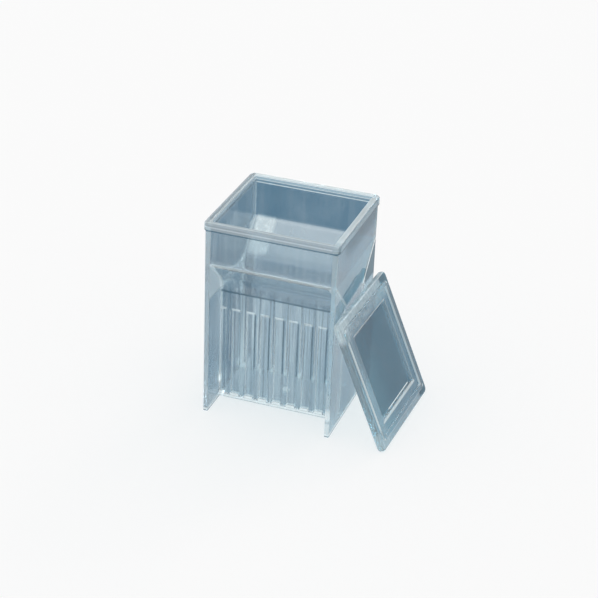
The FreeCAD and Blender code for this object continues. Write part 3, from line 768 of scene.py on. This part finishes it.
# painted highlights: bright lines on the panel's sloping border; the lowest of them is made by lidPlastic
def panelHighlights(zone, lowLine):
    inset, fromSide, inner = zone["inset"], zone["fromSide"], zone["inner"]
    margin, spare = lid["panelMargin"], lid["borderSpare"]
    panelEdge = margin + lid["panelSlope"]
    border = band(inset, margin - spare, panelEdge + spare, lid["borderSoft"]) * zone["flat"]
    borderLine = strip(inset, margin, lid["borderStrip"])
    upperLine = strip(zone["fromTop"], panelEdge, lid["upperStrip"])
    upperLine = upperLine * step(fromSide, panelEdge, lid["upperEndsStep"])
    hazeAndHighlight = border * lid["borderHighlight"] | borderLine * lid["borderLine"] | upperLine * lid["upperLine"]
    outside, short, soft = lid["broadEnds"]
    broadLine = band(zone["fromLow"], margin - outside, panelEdge - short, soft)
    broadLine = broadLine * step(fromSide, margin, lid["broadEndsStep"]) * inner
    return hazeAndHighlight * inner | (lowLine | broadLine * lid["broadLine"]) * lid["lowBorderHighlight"]


def lidPlastic():
    material, start = newMaterial("lidPlastic")
    metres = start.node("ShaderNodeTexCoord", None, None, "Object")
    place = start.node("ShaderNodeMapping", {"vector_type": "TEXTURE"}, {
        "Vector": metres, "Location": lidMiddle(), "Scale": (millimetre, millimetre, millimetre),
        "Rotation": (0.0, math.radians(lid["lean"]), -math.radians(lid["turn"])),
    })
    zone = lidZones(place)
    y, edge, panel, inner = (zone[name] for name in ("y", "edge", "panel", "inner"))
    panelEdge = lid["panelMargin"] + lid["panelSlope"]
    # the lowest line of painted highlight along the panel's lower border, and a line of painted shade beside
    # it
    lowLine = strip(zone["fromLow"], panelEdge, lid["lowStrip"]) * band(y, *lid["lowSpan"]) * inner
    lowShade = strip(zone["fromLow"], panelEdge, lid["shadeStrip"]) * band(y, *lid["shadeSpan"]) * inner
    hazeAndHighlight = lidVeil(zone, place) | plugHighlights(zone) | panelHighlights(zone, lowLine)
    tint = between(panel | edge * zone["farEdge"], lid["flatTint"], lid["panelTint"])
    deeper = rise(y, *lid["deepTintStep"]) * between(zone["upperEnd"], 1.0, lid["upperTintShare"])
    # painted shade: a dark band inside the far edge, a line beside the lowest highlight, and a shade over the
    # panel
    paintedShade = edge * rise(zone["inset"], *lid["farDimStep"]) * zone["farSide"] * lid["farDim"]
    paintedShade = paintedShade | lowShade * lid["lineDim"] | panel * (1 - lowLine) * lid["panelDim"]
    finishPlastic(start, place, blend(deeper, lid["nearTint"], lid["deepTint"]), tint, hazeAndHighlight, paintedShade)
    return material


# the camera turns about a point on the jar's middle line; lengths in metres, angles in degrees,
# and its lens and sensor in millimetres
camera = {
    "target": (0.0, 0.0, 0.0475),
    "azimuth": 18.53,
    "elevation": 28.08,
    "roll": 2.38,
    "distance": 0.7787,
    "aside": 0.004016,
    "aloft": 0.001935,
    "lens": 103.76,
    "sensor": 36.0,
}


def towards(azimuth, elevation):    # both in radians, from the front
    level = math.cos(elevation)
    return Vector((math.sin(azimuth) * level, -math.cos(azimuth) * level, math.sin(elevation)))


def addCamera():
    azimuth, elevation, roll = (math.radians(camera[name]) for name in ("azimuth", "elevation", "roll"))
    back = towards(azimuth, elevation)
    right = Vector((math.cos(azimuth), math.sin(azimuth), 0.0))
    up = back.cross(right)
    across = math.cos(roll) * right + math.sin(roll) * up
    upward = math.cos(roll) * up - math.sin(roll) * right
    place = Vector(camera["target"]) + camera["distance"] * back
    place = place + camera["aside"] * across + camera["aloft"] * upward
    data = bpy.data.cameras.new("camera")
    data.sensor_width = camera["sensor"]
    data.lens = camera["lens"]
    item = bpy.data.objects.new("camera", data)
    axes = Matrix((across, upward, back)).transposed()
    item.matrix_world = Matrix.Translation(place) @ axes.to_4x4()
    bpy.context.scene.collection.objects.link(item)
    bpy.context.scene.camera = item


# each lamp is a broad soft box, far away; angles in degrees, and the floor's size in metres
studio = {
    "key": {"azimuth": -31.0, "elevation": 57.0, "spread": 60.0, "strength": 0.5},
    "rim": {"azimuth": 161.0, "elevation": 30.0, "spread": 18.0, "strength": 0.35},
    "fill": 0.8,
    "floorSize": 6.0,
    "floorColour": (0.97, 0.97, 0.97, 1.0),
    "floorRoughness": 0.9,
    "bounces": 32,
}


def addLamp(name):
    lamp = studio[name]
    data = bpy.data.lights.new(name, "SUN")
    data.energy = lamp["strength"]
    data.angle = math.radians(lamp["spread"])
    item = bpy.data.objects.new(name, data)
    away = towards(math.radians(lamp["azimuth"]), math.radians(lamp["elevation"]))
    item.rotation_euler = away.to_track_quat("Z", "Y").to_euler()
    bpy.context.scene.collection.objects.link(item)


# white where it is seen, directly or in the plastic, and a softer fill where it lights
def addWorld():
    world = bpy.data.worlds.new("studio")
    bpy.context.scene.world = world
    world.use_nodes = True
    world.node_tree.nodes.clear()
    start = Wire(world.node_tree)
    rays = start.node("ShaderNodeLightPath").socket.node.outputs
    seen = Wire(start.tree, rays["Is Camera Ray"])
    for name in ("Is Glossy Ray", "Is Transmission Ray"):
        seen = seen | Wire(start.tree, rays[name])
    level = between(seen, studio["fill"], 1.0)
    light = start.node("ShaderNodeBackground", None, {"Color": (1.0, 1.0, 1.0, 1.0), "Strength": level})
    start.node("ShaderNodeOutputWorld", None, {"Surface": light})


def addFloor():
    bpy.ops.mesh.primitive_plane_add(size=studio["floorSize"], location=(0.0, 0.0, 0.0))
    floor = bpy.context.object
    floor.name = "floor"
    material, start = newMaterial("floorPaper")
    paper = start.node("ShaderNodeBsdfPrincipled", None, {
        "Base Color": studio["floorColour"], "Roughness": studio["floorRoughness"],
        "Specular IOR Level": 0.0,
    })
    start.node("ShaderNodeOutputMaterial", None, {"Surface": paper})
    floor.data.materials.append(material)


addCamera()
for name in ("key", "rim"):
    addLamp(name)
addWorld()
addFloor()
print("studio ready")

for name, material in (("jar", jarPlastic()), ("lid", lidPlastic())):
    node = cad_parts[name]
    node.data.materials.clear()
    node.data.materials.append(material)
print("plastic finished")

scene = bpy.context.scene
scene.view_settings.view_transform = "Standard"
scene.cycles.max_bounces = studio["bounces"]
scene.cycles.transmission_bounces = studio["bounces"]
scene.cycles.glossy_bounces = studio["bounces"]
scene.cycles.transparent_max_bounces = studio["bounces"]
